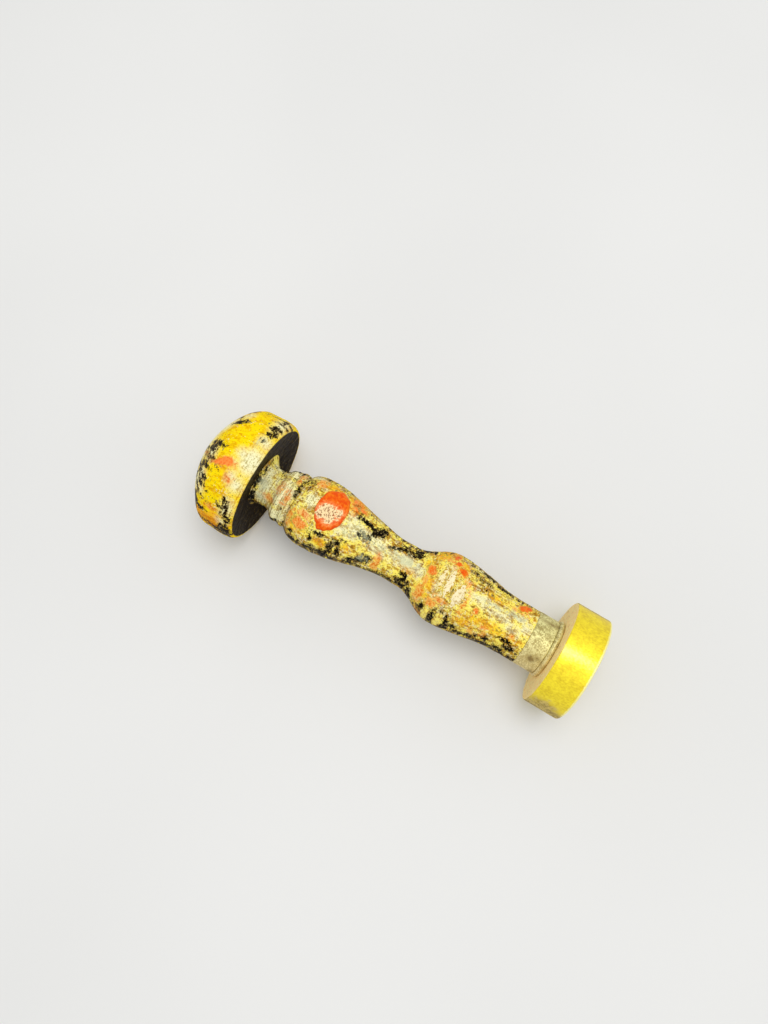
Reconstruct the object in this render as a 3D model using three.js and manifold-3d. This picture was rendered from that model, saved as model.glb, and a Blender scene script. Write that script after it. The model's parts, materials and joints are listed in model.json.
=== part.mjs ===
// A desk seal for sealing wax, lying on its side as it rests on a table.
// Millimetres, +Z up. The die face points to +X, the knob to -X. The origin is
// on the table, under the middle of the seal's bounding box.
//
// Every piece is turned about one axis. It is drawn about +Y, where y is the
// distance from the die face, and the whole stack is then laid down: knob rim
// and matrix rim both touch the table, so the axis climbs a little to the knob.

import * as THREE from 'three';
import { mergeVertices } from 'three/addons/utils/BufferGeometryUtils.js';
import Module from 'manifold-3d';

const wasm = await Module();
wasm.setup();

// Turning
const facets = 32;          // flats round each turned piece; one lies face down on the table
const threadFacets = 12;    // flats round the tang screw and its holes
const curveSteps = 7;       // points on a long turned curve
const beadSteps = 4;        // points on a bead, a lip or a small round

const cutOver = 1;          // how far a cut runs on past the face that it opens
const samePoint = 1e-5;     // corners closer than this are one corner

// Clearances
const seatGap = 0.3;        // along the axis, between a piece and what it seats on
const slipFit = 0.15;       // on the radius, between a shank and its hole

// Matrix: the thick brass disc with the die cut in its face
const matrixRadius = 12.7;
const matrixThickness = 8.4;
const matrixEdge = 0.35;    // chamfer on both rims
const dieDepth = 0.8;
const dieBorderRadius = 10.6;
const dieBorderWidth = 0.7;
const petalCount = 8;
const petalLength = 5.6;
const petalWidth = 2.6;
const petalInset = 2.3;     // from the centre to the foot of each petal
const bossRadius = 1.3;     // sunk dot in the middle of the die

// Foot ring: the thin bead between matrix and ferrule
const footRingRadius = 7.1;
const footRingHeight = 0.8;

// Ferrule: the brass collar round the foot of the wood
const ferruleRadius = 6.65;
const ferruleWall = 0.65;
const ferruleLength = 4.9;
const ferruleEdge = 0.2;    // chamfer on the outer edges

// Handle: turned wood, from the ferrule up to the knob
const shaftRadius = 6.6;
const shaftLength = 4.0;    // straight wood above the ferrule
const bulbRadius = 8.75;
const bulbRise = 17.4;
const waistRadius = 5.1;
const bulbFall = 10.1;
const waistLength = 2.0;
const bellyRadius = 8.8;
const bellyRise = 22.5;
const bellyFall = 5.3;
const lowerBeadRadius = 7.1;
const lowerBeadWidth = 2.3;
const beadGrooveRadius = 6.5;
const upperBeadRadius = 6.75;
const upperBeadWidth = 2.3;
const collarRadius = 6.1;   // where the neck leaves the upper bead
const neckRadius = 5.0;
const neckLength = 5.4;
const flareRadius = 6.6;    // where the neck meets the knob
const tenonRadius = 3.4;
const tenonLength = 7.7;

// Knob: a mushroom cap glued on the tenon
const knobRimRadius = 14.9;
const knobRadius = 15.65;
const knobRimHeight = 3.4;  // from the rim's underside to the widest circle
const knobBand = 3.9;       // nearly straight side above the widest circle
const knobShoulderRadius = 15.4;
const crownEdgeRadius = 12.6;
const shoulderHeight = 4.2; // round shoulder between the side and the crown
const crownHeight = 4.5;
const undersideDish = 1.15; // how far the underside is hollowed below the rim
const knobLip = 0.45;       // round on the rim's lower edge

// Tang screw: machine thread in the matrix, wood thread in the handle
const tangRadius = 2.4;
const threadDepth = 0.45;
const machinePitch = 1.0;
const machineLength = 5.0;
const woodPitch = 1.9;
const woodThreadLength = 15.2;
const tangPoint = 2.4;      // length of the pointed end
const tangTipRadius = 0.25;
const threadSteps = 4;      // rings along each turn of a thread

// Distances from the die face, each worked out from the piece below it
const matrixBack = matrixThickness;
const footRingBase = matrixBack + seatGap;
const footRingTop = footRingBase + footRingHeight;
const ferruleBase = footRingTop + seatGap;
const ferruleTop = ferruleBase + ferruleLength;
const woodFoot = ferruleBase;
const woodShoulder = ferruleTop + seatGap;
const shaftEnd = woodShoulder + shaftLength;
const bulbCrest = shaftEnd + bulbRise;
const waistStart = bulbCrest + bulbFall;
const waistEnd = waistStart + waistLength;
const bellyCrest = waistEnd + bellyRise;
const lowerBeadStart = bellyCrest + bellyFall;
const upperBeadStart = lowerBeadStart + lowerBeadWidth;
const neckStart = upperBeadStart + upperBeadWidth;
const neckEnd = neckStart + neckLength;
const tenonEnd = neckEnd + tenonLength;
const undersideCentre = neckEnd + seatGap;
const knobRim = undersideCentre - undersideDish;
const knobWidest = knobRim + knobRimHeight;
const knobShoulder = knobWidest + knobBand;
const crownEdge = knobShoulder + shoulderHeight;
const crownTop = crownEdge + crownHeight;
const socketEnd = tenonEnd + seatGap;
const spigotRadius = ferruleRadius - ferruleWall - slipFit;
const tangHoleRadius = tangRadius + slipFit;
const tangStart = matrixBack - machineLength;
const tangCore = tangRadius - threadDepth;
const woodThreadEnd = woodFoot + woodThreadLength;
const tangEnd = woodThreadEnd + tangPoint;

const boxwood = new THREE.MeshStandardMaterial({ color: 0xb98a2c, roughness: 0.5, metalness: 0 });
const wornWood = new THREE.MeshStandardMaterial({ color: 0xa8843a, roughness: 0.55, metalness: 0 });
const brass = new THREE.MeshStandardMaterial({ color: 0xc9a92f, roughness: 0.35, metalness: 1 });
const dullBrass = new THREE.MeshStandardMaterial({ color: 0x8f8150, roughness: 0.6, metalness: 0.8 });
const steel = new THREE.MeshStandardMaterial({ color: 0x74706a, roughness: 0.5, metalness: 1 });

// A profile point: radius from the axis, distance from the die face.
const at = (radius, distance) => new THREE.Vector2(radius, distance);

// A turned ogee between two circles, level at both of them.
function ogee(fromRadius, toRadius, from, to, steps = curveSteps) {
  return Array.from({ length: steps + 1 }, (_, i) => {
    const t = i / steps;
    const blend = (1 - Math.cos(Math.PI * t)) / 2;
    return at(fromRadius + (toRadius - fromRadius) * blend, from + (to - from) * t);
  });
}

// An elliptical arc about a centre on the profile's plane, angles in quarter turns from +radius.
function roundStretch(centre, across, along, fromQuarter, toQuarter, steps = beadSteps) {
  return Array.from({ length: steps + 1 }, (_, i) => {
    const angle = (fromQuarter + (toQuarter - fromQuarter) * i / steps) * Math.PI / 2;
    return at(centre.x + across * Math.cos(angle), centre.y + along * Math.sin(angle));
  });
}

// A raised bead between two circles that can differ in radius.
function bead(fromRadius, toRadius, crestRadius, from, width) {
  const steps = 2 * beadSteps;
  return Array.from({ length: steps + 1 }, (_, i) => {
    const t = i / steps;
    const base = fromRadius + (toRadius - fromRadius) * t;
    const rise = Math.sin(Math.PI * t);
    return at(base + (crestRadius - base) * rise, from + width * t);
  });
}

// Drops points that lie on the one before, so that no flat has zero height.
function clean(points) {
  return points.filter((p, i) => i === 0 || p.distanceTo(points[i - 1]) > samePoint);
}

const matrixProfile = [
  at(0, 0),
  at(matrixRadius - matrixEdge, 0),
  at(matrixRadius, matrixEdge),
  at(matrixRadius, matrixBack - matrixEdge),
  at(matrixRadius - matrixEdge, matrixBack),
  at(0, matrixBack),
];

const footRingMiddle = (footRingBase + footRingTop) / 2;
const footRingProfile = [
  at(tangHoleRadius, footRingBase),
  ...roundStretch(at(footRingRadius - footRingHeight / 2, footRingMiddle),
    footRingHeight / 2, footRingHeight / 2, -1, 1),
  at(tangHoleRadius, footRingTop),
  at(tangHoleRadius, footRingBase),
];

const ferruleBore = ferruleRadius - ferruleWall;
const ferruleProfile = [
  at(ferruleBore, ferruleBase),
  at(ferruleRadius - ferruleEdge, ferruleBase),
  at(ferruleRadius, ferruleBase + ferruleEdge),
  at(ferruleRadius, ferruleTop - ferruleEdge),
  at(ferruleRadius - ferruleEdge, ferruleTop),
  at(ferruleBore, ferruleTop),
  at(ferruleBore, ferruleBase),
];

const handleProfile = clean([
  at(0, woodFoot),
  at(spigotRadius, woodFoot),
  at(spigotRadius, woodShoulder),
  at(shaftRadius, woodShoulder),
  ...ogee(shaftRadius, bulbRadius, shaftEnd, bulbCrest),
  ...ogee(bulbRadius, waistRadius, bulbCrest, waistStart),
  ...ogee(waistRadius, bellyRadius, waistEnd, bellyCrest),
  ...roundStretch(at(beadGrooveRadius, bellyCrest), bellyRadius - beadGrooveRadius, bellyFall, 0, 1),
  ...bead(beadGrooveRadius, beadGrooveRadius, lowerBeadRadius, lowerBeadStart, lowerBeadWidth),
  ...bead(beadGrooveRadius, collarRadius, upperBeadRadius, upperBeadStart, upperBeadWidth),
  ...neckCove(),
  at(tenonRadius, neckEnd),
  at(tenonRadius, tenonEnd),
  at(0, tenonEnd),
]);

// The hollow of the neck: down from the collar to the neck, and up again to the flare.
function neckCove() {
  const middle = (neckStart + neckEnd) / 2;
  const half = neckLength / 2;
  const lower = roundStretch(at(collarRadius, middle), neckRadius - collarRadius, half, -1, 0);
  const upper = roundStretch(at(flareRadius, middle), neckRadius - flareRadius, half, 0, 1);
  return [...lower, ...upper];
}

const knobProfile = clean([
  at(0, socketEnd),
  at(tenonRadius + slipFit, socketEnd),
  at(tenonRadius + slipFit, undersideCentre),
  at(flareRadius, undersideCentre),
  ...roundStretch(at(knobRimRadius - knobLip, knobRim + knobLip), knobLip, knobLip, -1, 0),
  ...roundStretch(at(knobRimRadius, knobWidest), knobRadius - knobRimRadius,
    knobWidest - knobRim - knobLip, -1, 0),
  ...shoulderRound(),
  ...crown(),
]);

// The round shoulder between the knob's side and its crown. Its curve bends towards the
// corner where the side's line and the crown's tangent meet.
function shoulderRound() {
  const foot = at(knobShoulderRadius, knobShoulder);
  const top = at(crownEdgeRadius, crownEdge);
  const side = at(knobShoulderRadius - knobRadius, knobBand);
  const { spread } = crownSphere();
  const tangent = at(Math.cos(spread), -Math.sin(spread));
  const gap = top.clone().sub(foot);
  const corner = foot.clone().addScaledVector(side, gap.cross(tangent) / side.cross(tangent));
  return new THREE.QuadraticBezierCurve(foot, corner, top).getPoints(curveSteps - 1);
}

// The crown is a cap of the sphere through its edge circle and its top.
function crownSphere() {
  const radius = (crownEdgeRadius ** 2 + crownHeight ** 2) / (2 * crownHeight);
  return { radius, spread: Math.asin(crownEdgeRadius / radius) };
}

function crown() {
  const { radius, spread } = crownSphere();
  return Array.from({ length: curveSteps }, (_, i) => {
    const angle = spread * (1 - (i + 1) / curveSteps);
    return at(radius * Math.sin(angle), crownTop - radius * (1 - Math.cos(angle)));
  });
}

// Turns a profile about +Y, with a flat and not a corner face down.
function turned(profile) {
  return new THREE.LatheGeometry(profile, facets, Math.PI / facets);
}

// A closed mesh as a solid that can be joined and cut.
function solidOf(geometry) {
  const bare = geometry.clone();
  bare.deleteAttribute('normal');
  bare.deleteAttribute('uv');
  const merged = mergeVertices(bare, samePoint);
  const corners = merged.getAttribute('position');
  const triangles = [];
  const index = merged.getIndex();
  for (let i = 0; i < index.count; i += 3) {
    const [a, b, c] = [index.getX(i), index.getX(i + 1), index.getX(i + 2)];
    if (a !== b && b !== c && c !== a) triangles.push(a, b, c);
  }
  if (signedVolume(corners, triangles) < 0) triangles.reverse();
  return new wasm.Manifold(new wasm.Mesh({
    numProp: 3,
    vertProperties: Float32Array.from(corners.array),
    triVerts: Uint32Array.from(triangles),
  }));
}

function signedVolume(corners, triangles) {
  const [a, b, c] = [new THREE.Vector3(), new THREE.Vector3(), new THREE.Vector3()];
  let volume = 0;
  for (let i = 0; i < triangles.length; i += 3) {
    a.fromBufferAttribute(corners, triangles[i]);
    b.fromBufferAttribute(corners, triangles[i + 1]);
    c.fromBufferAttribute(corners, triangles[i + 2]);
    volume += a.dot(b.cross(c)) / 6;
  }
  return volume;
}

// A cut or joined solid as a three.js geometry.
function geometryOf(solid) {
  const mesh = solid.getMesh();
  const corners = new Float32Array(mesh.numVert * 3);
  for (let i = 0; i < mesh.numVert; i += 1) {
    for (let k = 0; k < 3; k += 1) corners[3 * i + k] = mesh.vertProperties[mesh.numProp * i + k];
  }
  const geometry = new THREE.BufferGeometry();
  geometry.setAttribute('position', new THREE.BufferAttribute(corners, 3));
  geometry.setIndex(new THREE.BufferAttribute(Uint32Array.from(mesh.triVerts), 1));
  geometry.computeVertexNormals();
  return geometry;
}

// A screw thread as one solid: a stack of rings whose radius rises and falls once a turn.
// A hole is the same stretch with its radius grown, so the gap round the screw is even.
function threaded(start, end, pitch, growth) {
  const rings = [];
  const count = Math.round((end - start) / pitch * threadSteps);
  for (let i = 0; i <= count; i += 1) {
    const distance = start + (end - start) * i / count;
    rings.push(ringAt(distance, (angle) => {
      const turn = (distance - start) / pitch - angle / (2 * Math.PI);
      const wave = Math.abs(2 * (turn - Math.floor(turn)) - 1);
      return tangRadius + growth - threadDepth * wave;
    }));
  }
  return rings;
}

function ringAt(distance, radiusAt) {
  return Array.from({ length: threadFacets }, (_, i) => {
    const angle = (i + 0.5) * 2 * Math.PI / threadFacets;
    const radius = radiusAt(angle);
    return new THREE.Vector3(radius * Math.sin(angle), distance, radius * Math.cos(angle));
  });
}

// Closes a stack of rings, each with one corner per flat, into one skin with flat ends.
function skinOf(rings) {
  const sides = threadFacets;
  const corners = rings.flat();
  const triangles = [];
  for (let r = 0; r + 1 < rings.length; r += 1) {
    for (let i = 0; i < sides; i += 1) {
      const [a, b] = [r * sides + i, r * sides + (i + 1) % sides];
      triangles.push(a, b, a + sides, b, b + sides, a + sides);
    }
  }
  const [foot, head] = [corners.length, corners.length + 1];
  corners.push(middleOf(rings[0]), middleOf(rings[rings.length - 1]));
  const last = (rings.length - 1) * sides;
  for (let i = 0; i < sides; i += 1) {
    const next = (i + 1) % sides;
    triangles.push(foot, next, i, head, last + i, last + next);
  }
  const geometry = new THREE.BufferGeometry().setFromPoints(corners);
  geometry.setIndex(triangles);
  return geometry;
}

function middleOf(ring) {
  return new THREE.Vector3(0, ring[0].y, 0);
}

// The stretch of thread that is in the matrix, and the one that is in the wood.
function machineThread(growth) {
  return threaded(tangStart, matrixBack, machinePitch, growth);
}

function woodThread(growth) {
  return threaded(woodFoot, woodThreadEnd, woodPitch, growth);
}

// The screw: machine thread, a plain waist inside the foot ring, wood thread and point.
function tangRings() {
  const waist = ringAt(footRingMiddle, () => tangCore);
  const tip = ringAt(tangEnd, () => tangTipRadius);
  return [...machineThread(0), waist, ...woodThread(0), tip];
}

// The holes keep a gap round the screw and past its ends.
function tappedHole() {
  const floor = ringAt(tangStart - seatGap, () => tangCore + slipFit);
  const mouth = ringAt(matrixBack + cutOver, () => tangHoleRadius);
  return solidOf(skinOf([floor, ...machineThread(slipFit), mouth]));
}

function pilotHole() {
  const mouth = ringAt(woodFoot - cutOver, () => tangHoleRadius);
  const tip = ringAt(tangEnd + seatGap, () => tangTipRadius + slipFit);
  return solidOf(skinOf([mouth, ...woodThread(slipFit), tip]));
}

// The die: a border groove, a sunk dot and a ring of petals, cut into the matrix face.
function dieCut() {
  const border = turned([
    at(dieBorderRadius - dieBorderWidth, -cutOver),
    at(dieBorderRadius, -cutOver),
    at(dieBorderRadius, dieDepth),
    at(dieBorderRadius - dieBorderWidth, dieDepth),
    at(dieBorderRadius - dieBorderWidth, -cutOver),
  ]);
  const dot = turned([
    at(0, -cutOver),
    at(bossRadius, -cutOver),
    at(bossRadius, dieDepth),
    at(0, dieDepth),
  ]);
  let cut = solidOf(border).add(solidOf(dot));
  for (let i = 0; i < petalCount; i += 1) {
    cut = cut.add(solidOf(petalGeometry((i + 0.5) * 2 * Math.PI / petalCount)));
  }
  return cut;
}

function petalGeometry(angle) {
  const geometry = new THREE.ExtrudeGeometry(petalShape(), {
    depth: dieDepth + cutOver,
    curveSegments: beadSteps,
    bevelEnabled: false,
  });
  geometry.rotateX(-Math.PI / 2);
  geometry.translate(0, -cutOver, 0);
  geometry.rotateY(angle);
  return geometry;
}

// One petal, pointed at both ends, lying out from the centre along +X.
function petalShape() {
  const [foot, tip] = [petalInset, petalInset + petalLength];
  const middle = (foot + tip) / 2;
  const shape = new THREE.Shape();
  shape.moveTo(foot, 0);
  shape.quadraticCurveTo(middle, -petalWidth, tip, 0);
  shape.quadraticCurveTo(middle, petalWidth, foot, 0);
  return shape;
}

function named(name, geometry, material) {
  const mesh = new THREE.Mesh(geometry, material);
  mesh.name = name;
  return mesh;
}

const stack = new THREE.Group();
stack.add(named('seal_matrix',
  geometryOf(solidOf(turned(matrixProfile)).subtract(dieCut()).subtract(tappedHole())), brass));
stack.add(named('foot_ring', geometryOf(solidOf(turned(footRingProfile))), dullBrass));
stack.add(named('ferrule', geometryOf(solidOf(turned(ferruleProfile))), dullBrass));
stack.add(named('tang_screw', geometryOf(solidOf(skinOf(tangRings()))), steel));
stack.add(named('handle', geometryOf(solidOf(turned(handleProfile)).subtract(pilotHole())), wornWood));
stack.add(named('knob', geometryOf(solidOf(turned(knobProfile))), boxwood));

// How far a turned profile reaches down when its axis climbs by the given angle.
function reach(profile, climb) {
  const flat = Math.cos(Math.PI / facets);
  return Math.min(...profile.map((p) => p.y * Math.sin(climb) - p.x * flat * Math.cos(climb)));
}

// The climb at which knob and matrix reach down equally far, found by halving.
function restingClimb() {
  const halvings = 40;
  let [low, high] = [0, Math.PI / 4];
  for (let i = 0; i < halvings; i += 1) {
    const middle = (low + high) / 2;
    if (reach(knobProfile, middle) < reach(matrixProfile, middle)) low = middle;
    else high = middle;
  }
  return (low + high) / 2;
}

const climb = restingClimb();
stack.rotation.set(0, climb, Math.PI / 2, 'YZX');

const seal = new THREE.Group();
seal.add(stack);
seal.updateMatrixWorld(true);
const box = new THREE.Box3().setFromObject(seal, true);
stack.position.set(-(box.min.x + box.max.x) / 2, -(box.min.y + box.max.y) / 2, -box.min.z);

export default seal;
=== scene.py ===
import json
import math

import bmesh
import bpy
import numpy as np
from mathutils import Matrix, Vector, noise


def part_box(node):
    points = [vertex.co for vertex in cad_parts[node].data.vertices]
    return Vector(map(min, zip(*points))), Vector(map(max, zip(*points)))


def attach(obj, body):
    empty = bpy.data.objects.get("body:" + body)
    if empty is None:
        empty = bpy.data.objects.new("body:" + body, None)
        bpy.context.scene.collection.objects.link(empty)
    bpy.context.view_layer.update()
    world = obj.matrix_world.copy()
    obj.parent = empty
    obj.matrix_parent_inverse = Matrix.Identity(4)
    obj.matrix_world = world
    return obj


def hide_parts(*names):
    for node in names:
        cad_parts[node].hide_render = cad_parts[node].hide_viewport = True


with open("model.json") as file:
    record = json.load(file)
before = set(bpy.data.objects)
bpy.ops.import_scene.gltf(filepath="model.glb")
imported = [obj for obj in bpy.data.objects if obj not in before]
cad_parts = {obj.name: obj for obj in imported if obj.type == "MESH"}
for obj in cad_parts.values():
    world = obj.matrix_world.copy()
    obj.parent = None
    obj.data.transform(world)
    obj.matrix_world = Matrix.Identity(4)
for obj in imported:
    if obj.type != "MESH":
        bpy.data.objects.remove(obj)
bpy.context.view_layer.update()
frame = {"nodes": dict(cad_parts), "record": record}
scene = bpy.context.scene
scene.view_settings.view_transform = "Standard"
mm = 0.001
print("frame loaded")

# Where the seal lies. Its axis runs from the die face up to the knob, and a point on it is
# given by its distance from the die face, its radius and its turn: 0 at the top of the
# lying seal, 90 on the +Y side, -90 on the side nearer the camera.
discThickness = 8.4
axis = -Vector(frame["record"]["mounts"][0]["axis"]).normalized()
side = Vector((0, 1, 0))
lift = side.cross(axis).normalized()
discLow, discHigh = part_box("seal_matrix")
dieCentre = (discLow + discHigh) / 2 - axis * discThickness / 2 * mm


def laidDown(points):  # seal's own millimetres to the row frame's metres
    turning = np.array([side, axis, lift])
    return points @ turning * mm + np.array(dieCentre)


# Outlines, as lists of (radius, distance from the die face)
def ogee(fromRadius, toRadius, start, end, steps):
    part = np.linspace(0, 1, steps + 1)
    blend = (1 - np.cos(np.pi * part)) / 2
    return list(zip(fromRadius + (toRadius - fromRadius) * blend, start + (end - start) * part))


def arc(radius, distance, across, along, fromQuarter, toQuarter, steps):
    angle = np.linspace(fromQuarter, toQuarter, steps + 1) * np.pi / 2
    return list(zip(radius + across * np.cos(angle), distance + along * np.sin(angle)))


def bead(fromRadius, toRadius, crest, start, width, steps):
    part = np.linspace(0, 1, steps + 1)
    base = fromRadius + (toRadius - fromRadius) * part
    return list(zip(base + (crest - base) * np.sin(np.pi * part), start + width * part))


def dense(outline, spacing):  # adds points so that none is further than spacing apart
    filled = [tuple(outline[0])]
    for before, after in zip(outline, outline[1:]):
        gap = math.dist(before, after)
        if gap < 1e-6:
            continue
        count = max(1, math.ceil(gap / spacing))
        for i in range(1, count + 1):
            part = i / count
            filled.append(tuple(b + (a - b) * part for b, a in zip(before, after)))
    return filled


def placed(radius, distance, turn):  # points round the seal's axis, in millimetres
    grid = [radius * np.sin(turn), distance, radius * np.cos(turn)]
    return np.stack(grid, -1).reshape(-1, 3)


def turned(name, outline, around, push, widen=None):
    rim = np.array(outline, float)
    loop = np.allclose(rim[0], rim[-1])
    if loop:
        rim = rim[:-1]
    before = np.roll(rim, 1, 0) if loop else np.vstack([rim[:1], rim[:-1]])
    after = np.roll(rim, -1, 0) if loop else np.vstack([rim[1:], rim[-1:]])
    along = after - before
    outward = np.stack([along[:, 1], -along[:, 0]], 1)
    outward /= np.maximum(np.linalg.norm(outward, axis=1, keepdims=True), 1e-9)
    angle = np.arange(around) * 2 * np.pi / around
    radius = np.repeat(rim[:, 0, None], around, 1)
    distance = np.repeat(rim[:, 1, None], around, 1)
    turn = np.repeat(angle[None], len(rim), 0)
    shift = push(radius, distance, turn)
    newRadius = np.maximum(radius + outward[:, 0, None] * shift, 0)
    if widen:
        newRadius += widen(radius, distance, turn)
    newDistance = distance + outward[:, 1, None] * shift
    faces = []
    last = len(rim) if loop else len(rim) - 1
    for i in range(last):
        a, b = i * around, (i + 1) % len(rim) * around
        for j in range(around):
            k = (j + 1) % around
            faces.append((a + j, a + k, b + k, b + j))
    points = placed(newRadius, newDistance, turn)
    return buildPiece(name, points, faces, {"spot": placed(radius, distance, turn)})


def addObject(name, data):
    made = bpy.data.objects.new(name, data)
    scene.collection.objects.link(made)
    return made


def buildPiece(name, points, faces, known):
    mesh = bpy.data.meshes.new(name)
    mesh.from_pydata(laidDown(points).tolist(), [], faces)
    for key, values in known.items():
        remember(mesh, key, values)
    body = bmesh.new()
    body.from_mesh(mesh)
    bmesh.ops.remove_doubles(body, verts=body.verts, dist=1e-7)
    bmesh.ops.recalc_face_normals(body, faces=body.faces)
    body.to_mesh(mesh)
    body.free()
    mesh.shade_smooth()
    mesh.set_sharp_from_angle(angle=math.radians(50))
    return addObject(name, mesh)


def remember(mesh, name, values):  # a number or a vector kept at each point
    kind = "FLOAT" if np.ndim(values) == 1 else "FLOAT_VECTOR"
    kept = mesh.attributes.get(name) or mesh.attributes.new(name, kind, "POINT")
    key = "value" if kind == "FLOAT" else "vector"
    kept.data.foreach_set(key, np.asarray(values, np.float32).ravel())


def spots(piece):  # distance, turn in degrees and radius at each point
    kept = piece.data.attributes["spot"].data
    seat = np.zeros(len(kept) * 3, np.float32)
    kept.foreach_get("vector", seat)
    x, distance, z = seat.reshape(-1, 3).astype(float).T
    return distance, np.degrees(np.arctan2(x, z)), np.hypot(x, z)


def wrapped(turn):
    return (turn + 180) % 360 - 180


# A mark is (distance, turn, half length along the axis in mm, half width in degrees), and the
# tilt in degrees if it has one. Its field is about how many millimetres a point lies inside it.
def markField(marks, distance, turn, radius):
    farOutside, nearAlong, nearRound, usualRadius = -3.0, 4, 30, 8
    field = np.full(distance.shape, farOutside)
    for place, middle, halfLength, halfTurn, *tilt in marks:
        ahead = distance - place
        aside = np.radians(wrapped(turn - middle)) * radius
        near = np.abs(ahead) < nearAlong + halfLength
        size = radius[near & (np.abs(wrapped(turn - middle)) < nearRound)]
        halfWidth = math.radians(halfTurn) * (size.mean() if size.size else usualRadius)
        lean = math.radians(sum(tilt))
        p = (ahead * math.cos(lean) + aside * math.sin(lean)) / halfLength
        q = (aside * math.cos(lean) - ahead * math.sin(lean)) / halfWidth
        inside = (1 - np.hypot(p, q)) * min(halfLength, halfWidth)
        field = np.maximum(field, inside)
    return field


def bump(inside, width):  # 0 outside a mark, 1 once well inside it
    part = np.clip(inside / width, 0, 1)
    return part * part * (3 - 2 * part)


def worn(points, form):  # form is the noise's scale, its seed and its depth in mm
    scale, seed, depth = form
    offset = Vector((seed, seed, seed))
    return np.array([noise.noise(Vector(p) * scale + offset) for p in points]) * depth


# One socket of a material's nodes, so that shader maths reads as plain expressions
class Wire:
    def __init__(self, tree, socket=None):
        self.tree = tree
        self.socket = socket

    def node(self, kind, settings=None, values=None, output=0):
        made = self.tree.nodes.new("ShaderNode" + kind)
        for name, value in (settings or {}).items():
            setattr(made, name, value)
        for name, value in (values or {}).items():
            if isinstance(value, Wire):
                self.tree.links.new(value.socket, made.inputs[name])
            else:
                made.inputs[name].default_value = value
        return Wire(self.tree, made.outputs[output])

    def maths(self, operation, first, second):
        return self.node("Math", {"operation": operation}, {0: first, 1: second})

    def __add__(self, other):
        return self.maths("ADD", self, other)

    def __sub__(self, other):
        return self.maths("SUBTRACT", self, other)

    def __mul__(self, other):
        return self.maths("MULTIPLY", self, other)

    __radd__ = __add__
    __rmul__ = __mul__

    def __rsub__(self, other):
        return self.maths("SUBTRACT", other, self)

    def larger(self, other):
        return self.maths("MAXIMUM", self, other)

    def ramp(self, low, high):  # 0 at low, 1 at high, smooth between
        values = {"Value": self, "From Min": low, "From Max": high}
        return self.node("MapRange", {"interpolation_type": "SMOOTHSTEP"}, values)

    def kept(self, name, output="Fac"):
        return self.node("Attribute", {"attribute_name": name}, None, output)

    def stretched(self, factors):
        values = {0: self, 1: factors}
        return self.node("VectorMath", {"operation": "MULTIPLY"}, values)

    def cloud(self, scale, detail, roughness):
        values = {"Vector": self, "Scale": scale, "Detail": detail, "Roughness": roughness}
        return self.node("TexNoise", None, values)

    def over(self, below, above):  # above where this mask is 1, below where it is 0
        values = {"Factor": self, 6: tinted(below), 7: tinted(above)}
        return self.node("Mix", {"data_type": "RGBA"}, values, 2)


def tinted(colour):  # 0-255 as seen on screen, to the shader's light values
    if isinstance(colour, Wire):
        return colour
    parts = [value / 255 for value in colour]
    return [p / 12.92 if p <= 0.04045 else ((p + 0.055) / 1.055) ** 2.4 for p in parts] + [1]


def addNodes(owner, kind, output, build):  # for a material or a world
    owner.use_nodes = True
    tree = owner.node_tree
    tree.nodes.clear()
    wire = Wire(tree)
    shader = wire.node(kind, None, build(wire))
    out = tree.nodes.new("ShaderNodeOutput" + output)
    tree.links.new(shader.socket, out.inputs["Surface"])


def finish(name, build):
    material = bpy.data.materials.new(name)
    addNodes(material, "BsdfPrincipled", "Material", build)
    return material


def dress(piece, material, slot, *nodes):
    piece.data.materials.append(material)
    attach(piece, "root")
    if nodes:
        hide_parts(*nodes)


def raised(wire, height, depth, strength, below=None):  # depth in millimetres
    values = {"Height": height, "Distance": depth * mm, "Strength": strength}
    if below:
        values["Normal"] = below
    return wire.node("Bump", None, values)


# Camera and light
view = {
    "place": (18.3, -26.4, 192.7),  # mm
    "aim": (-9.3, 11.35, 0.0),  # point of the table in the middle of the frame
    "up": (-0.4916, 0.8386, 0.2348),  # towards the frame's upper edge
    "sensor": 36.0,
    "lens": 27.06,
}
light = {
    "place": (0.05, 0.07, 0.68),
    "size": 0.44,
    "power": 2.1,
    "world": 0.67,
    "seen": 0.93,  # how pale the empty background looks
}


def addCamera():
    data = bpy.data.cameras.new("camera")
    data.sensor_fit = "VERTICAL"
    data.sensor_height = view["sensor"]
    data.lens = view["lens"]
    data.clip_start = 0.01
    data.clip_end = 20
    camera = addObject("camera", data)
    place = Vector(view["place"]) * mm
    back = (place - Vector(view["aim"]) * mm).normalized()
    right = Vector(view["up"]).cross(back).normalized()
    turning = Matrix((right, back.cross(right), back)).transposed().to_4x4()
    camera.matrix_world = Matrix.Translation(place) @ turning
    scene.camera = camera


def addLight():
    data = bpy.data.lights.new("softLamp", "AREA")
    data.shape = "DISK"
    data.size = light["size"]
    data.energy = light["power"]
    lamp = addObject("softLamp", data)
    place = Vector(light["place"])
    lamp.location = place
    lamp.rotation_euler = place.to_track_quat("Z", "Y").to_euler()

    def room(wire):
        path = wire.node("LightPath", None, None, "Is Camera Ray")
        glossy = Wire(wire.tree, path.socket.node.outputs["Is Glossy Ray"])
        strength = light["world"] + path.larger(glossy) * (light["seen"] - light["world"])
        return {"Color": (1, 1, 1, 1), "Strength": strength}
    scene.world = bpy.data.worlds.new("paleRoom")
    addNodes(scene.world, "Background", "World", room)


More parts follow.
